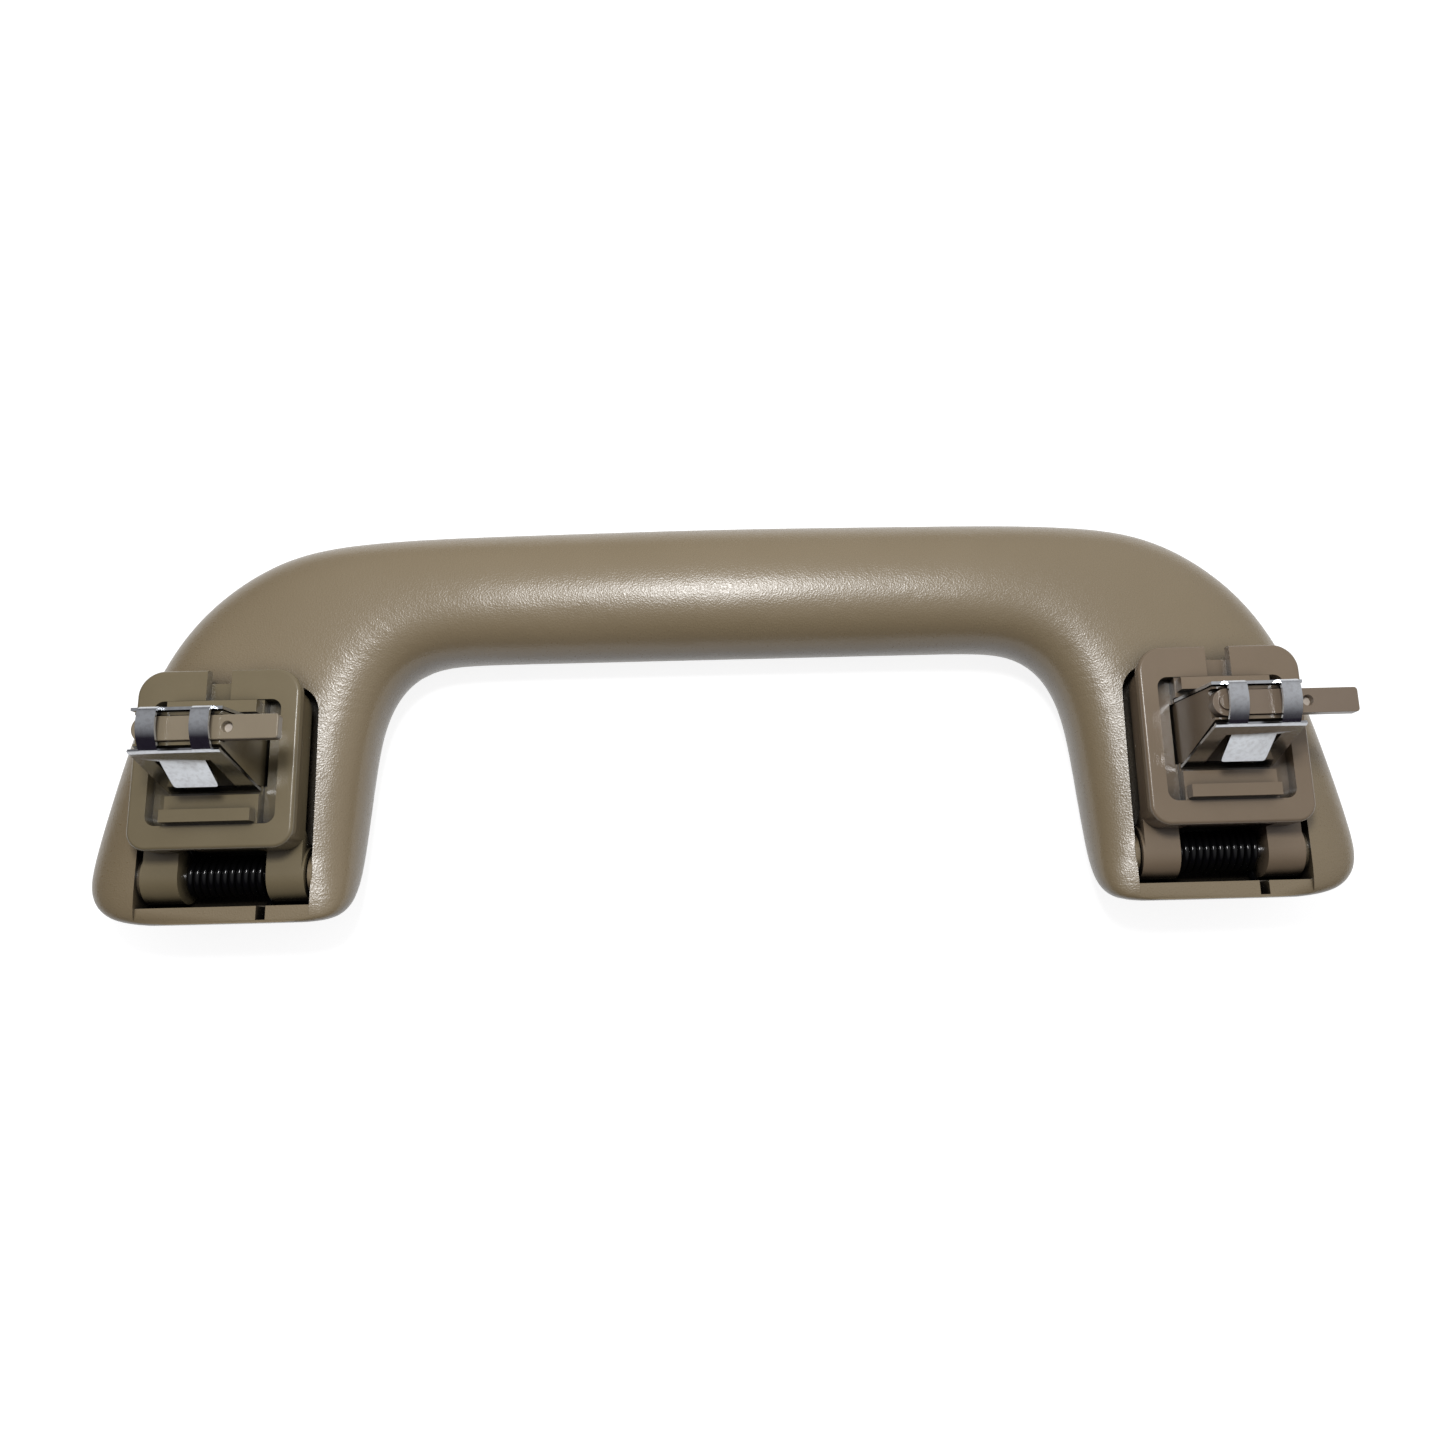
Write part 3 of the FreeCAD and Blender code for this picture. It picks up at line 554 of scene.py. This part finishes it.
def springTree(v=spring):
    tree = bpy.data.node_groups.new("torsionSpring", "GeometryNodeTree")
    for label in ("Coil radius", "Wire radius", "Pitch", "Turns", "Middle"):
        tree.interface.new_socket(label, in_out="INPUT", socket_type="NodeSocketFloat")
    tree.interface.new_socket("Geometry", in_out="OUTPUT", socket_type="NodeSocketGeometry")
    link = tree.links.new
    source, result = tree.nodes.new("NodeGroupInput"), tree.nodes.new("NodeGroupOutput")

    def number(operation, *terms):
        node = addNode(tree, "ShaderNodeMath", operation=operation)
        for socket, term in zip(node.inputs, terms):
            if isinstance(term, (int, float)):
                socket.default_value = term
            else:
                link(term, socket)
        return node.outputs["Value"]

    coil = addNode(tree, "GeometryNodeCurvePrimitiveLine")
    finer = addNode(tree, "GeometryNodeResampleCurve")
    count = round(v["turns"] * v["pointsPerTurn"])
    finer.inputs["Count"].default_value = count + 1
    link(coil.outputs["Curve"], finer.inputs["Curve"])
    index = addNode(tree, "GeometryNodeInputIndex").outputs["Index"]
    done = number("MULTIPLY", number("DIVIDE", index, count), source.outputs["Turns"])
    angle = number("MULTIPLY_ADD", done, -2 * math.pi, math.radians(v["startAngle"]))
    along = number("MULTIPLY_ADD", done, source.outputs["Pitch"], source.outputs["Middle"])
    radius = source.outputs["Coil radius"]
    spot = addNode(tree, "ShaderNodeCombineXYZ")
    link(number("ADD", along, v["start"]), spot.inputs["X"])
    link(number("MULTIPLY_ADD", number("COSINE", angle), radius, v["axis"][0]), spot.inputs["Y"])
    link(number("MULTIPLY_ADD", number("SINE", angle), radius, v["axis"][1]), spot.inputs["Z"])
    wound = addNode(tree, "GeometryNodeSetPosition")
    link(finer.outputs["Curve"], wound.inputs["Geometry"])
    link(spot.outputs["Vector"], wound.inputs["Position"])

    profile = addNode(tree, "GeometryNodeCurvePrimitiveCircle", Resolution=v["sides"])
    link(source.outputs["Wire radius"], profile.inputs["Radius"])
    join = addNode(tree, "GeometryNodeJoinGeometry")
    first = coilPoint(0, v)
    last = coilPoint(v["turns"], v)
    legWay, tailWay = wayAt(v["startAngle"]), wayAt(v["endAngle"])
    for start, end in ((first - legWay * v["leg"], first), (last, last + tailWay * v["tail"])):
        line = addNode(tree, "GeometryNodeCurvePrimitiveLine")
        for name, point in (("Start", start), ("End", end)):
            shifted = addNode(tree, "ShaderNodeCombineXYZ")
            link(number("ADD", source.outputs["Middle"], point.x), shifted.inputs["X"])
            shifted.inputs["Y"].default_value = point.y
            shifted.inputs["Z"].default_value = point.z
            link(shifted.outputs["Vector"], line.inputs[name])
        link(line.outputs["Curve"], join.inputs["Geometry"])
    link(wound.outputs["Geometry"], join.inputs["Geometry"])
    solid = addNode(tree, "GeometryNodeCurveToMesh")
    solid.inputs["Fill Caps"].default_value = True
    link(join.outputs["Geometry"], solid.inputs["Curve"])
    link(profile.outputs["Curve"], solid.inputs["Profile Curve"])
    smooth = addNode(tree, "GeometryNodeSetShadeSmooth")
    link(solid.outputs["Mesh"], smooth.inputs["Geometry"])
    real = addNode(tree, "GeometryNodeRealizeInstances")
    link(smooth.outputs["Geometry"], real.inputs["Geometry"])
    finish = addNode(tree, "GeometryNodeSetMaterial")
    finish.inputs["Material"].default_value = materials["spring"]
    link(real.outputs["Geometry"], finish.inputs["Geometry"])
    link(finish.outputs["Geometry"], result.inputs["Geometry"])
    return tree


def coilPoint(turns, v):
    angle = math.radians(v["startAngle"]) - 2 * math.pi * turns
    y = v["axis"][0] + v["coilRadius"] * math.cos(angle)
    return Vector((v["start"] + v["pitch"] * turns, y, v["axis"][1] + v["coilRadius"] * math.sin(angle)))


def wayAt(degrees):
    angle = math.radians(degrees)
    return Vector((0, math.sin(angle), -math.cos(angle)))


def makeSpring(side, tree, v=spring):
    carrier = bpy.data.objects.new(f"{side}_springWire", bpy.data.meshes.new("wire"))
    scene.collection.objects.link(carrier)
    modifier = carrier.modifiers.new("wind", "NODES")
    modifier.node_group = tree
    values = {
        "Coil radius": v["coilRadius"], "Wire radius": v["wireRadius"], "Pitch": v["pitch"],
        "Turns": v["turns"], "Middle": sides[side],
    }
    for item in tree.interface.items_tree:
        if item.in_out == "INPUT":
            modifier[item.identifier] = values[item.name]
    bpy.context.view_layer.update()
    evaluated = carrier.evaluated_get(bpy.context.evaluated_depsgraph_get())
    mesh = bpy.data.meshes.new_from_object(evaluated)
    carrier.modifiers.remove(modifier)
    carrier.data = mesh
    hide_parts(f"{side}_spring")
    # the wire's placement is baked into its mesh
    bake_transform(carrier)


windTree = springTree()
for side in sides:
    makeSpring(side, windTree)
print("springs wound")


# Studio: pale floor, one soft light overhead, the room and the photograph's camera

studio = {
    "floor": (0.42, 0.42, 0.42, 1),
    "glow": 0.86,
    "floorHalf": 2.0,
    "overhead": {"at": (-0.010, 0.070, 0.29), "aim": (0, 0.01, 0), "size": 0.06, "power": 0.6},
    "horizon": (0.028, 0.022, 0.034, 1),
    "sky": (0.8, 0.8, 0.81, 1),
    "page": (1.0, 1.0, 1.0, 1),
    "skyWay": (0.33, 0.5, 0.8),  # where the room is brightest
    "skyFrom": 0.15,
}


def makeFloor(v=studio):
    half, low = v["floorHalf"], cadBox[0][2]
    mesh = bpy.data.meshes.new("floor")
    mesh.from_pydata(
        [(-half, -half, low), (half, -half, low), (half, half, low), (-half, half, low)], [], [(0, 1, 2, 3)]
    )
    floor = bpy.data.objects.new("floor", mesh)
    scene.collection.objects.link(floor)
    pale = newMaterial(
        "paleFloor", Base_Color=v["floor"], Roughness=0.9, Emission_Color=(1, 1, 1, 1), Emission_Strength=v["glow"]
    )
    mesh.materials.append(pale[0])
    floor.visible_diffuse = False  # it throws no light back on the part


def makeLight(name, v):
    lamp = bpy.data.lights.new(name, "AREA")
    lamp.shape = "SQUARE"
    lamp.size = v["size"]
    lamp.energy = v["power"]
    light = bpy.data.objects.new(name, lamp)
    scene.collection.objects.link(light)
    light.location = v["at"]
    aim = Vector(v["aim"]) - Vector(v["at"])
    light.rotation_euler = aim.to_track_quat("-Z", "Y").to_euler()


def makeWorld(v=studio):
    world = bpy.data.worlds.new("room")
    scene.world = world
    world.use_nodes = True
    tree = world.node_tree
    back = tree.nodes["Background"]
    at = addNode(tree, "ShaderNodeTexCoord")
    facing = addNode(tree, "ShaderNodeVectorMath", operation="DOT_PRODUCT")
    facing.inputs[1].default_value = v["skyWay"]
    ramp = addNode(tree, "ShaderNodeMapRange")
    ramp.inputs["From Min"].default_value = v["skyFrom"]
    mix = addNode(tree, "ShaderNodeMix", data_type="RGBA")
    mix.inputs[6].default_value = v["horizon"]
    mix.inputs[7].default_value = v["sky"]
    tree.links.new(at.outputs["Generated"], facing.inputs[0])
    tree.links.new(facing.outputs["Value"], ramp.inputs["Value"])
    tree.links.new(ramp.outputs["Result"], mix.inputs["Factor"])
    # the page behind the part is as white as the floor; only what the part mirrors is dark
    rays = addNode(tree, "ShaderNodeLightPath")
    page = addNode(tree, "ShaderNodeMix", data_type="RGBA")
    page.inputs[7].default_value = v["page"]
    tree.links.new(rays.outputs["Is Camera Ray"], page.inputs["Factor"])
    tree.links.new(mix.outputs[2], page.inputs[6])
    tree.links.new(page.outputs[2], back.inputs["Color"])


photoCamera = {
    "at": (0.005199, -0.040778, 0.209676),
    "looks": (0.00610, 0.20878, -0.97794),
    "up": (0.02455, 0.97763, 0.20887),
    "lens": 28.552,
    "shift": (-0.02124, -0.00112),
}


def makeCamera(v=photoCamera):
    lens = bpy.data.cameras.new("photoCamera")
    lens.sensor_width = 36
    lens.lens = v["lens"]
    lens.shift_x, lens.shift_y = v["shift"]
    lens.clip_start = 0.01
    camera = bpy.data.objects.new("photoCamera", lens)
    scene.collection.objects.link(camera)
    back = -Vector(v["looks"]).normalized()
    right = Vector(v["up"]).cross(back).normalized()
    up = back.cross(right)
    turned = Matrix((right, up, back)).transposed().to_4x4()
    camera.matrix_world = Matrix.Translation(v["at"]) @ turned
    scene.camera = camera


makeFloor()
makeLight("overhead", studio["overhead"])
makeWorld()
makeCamera()
scene.view_settings.view_transform = "Standard"
print("studio set")
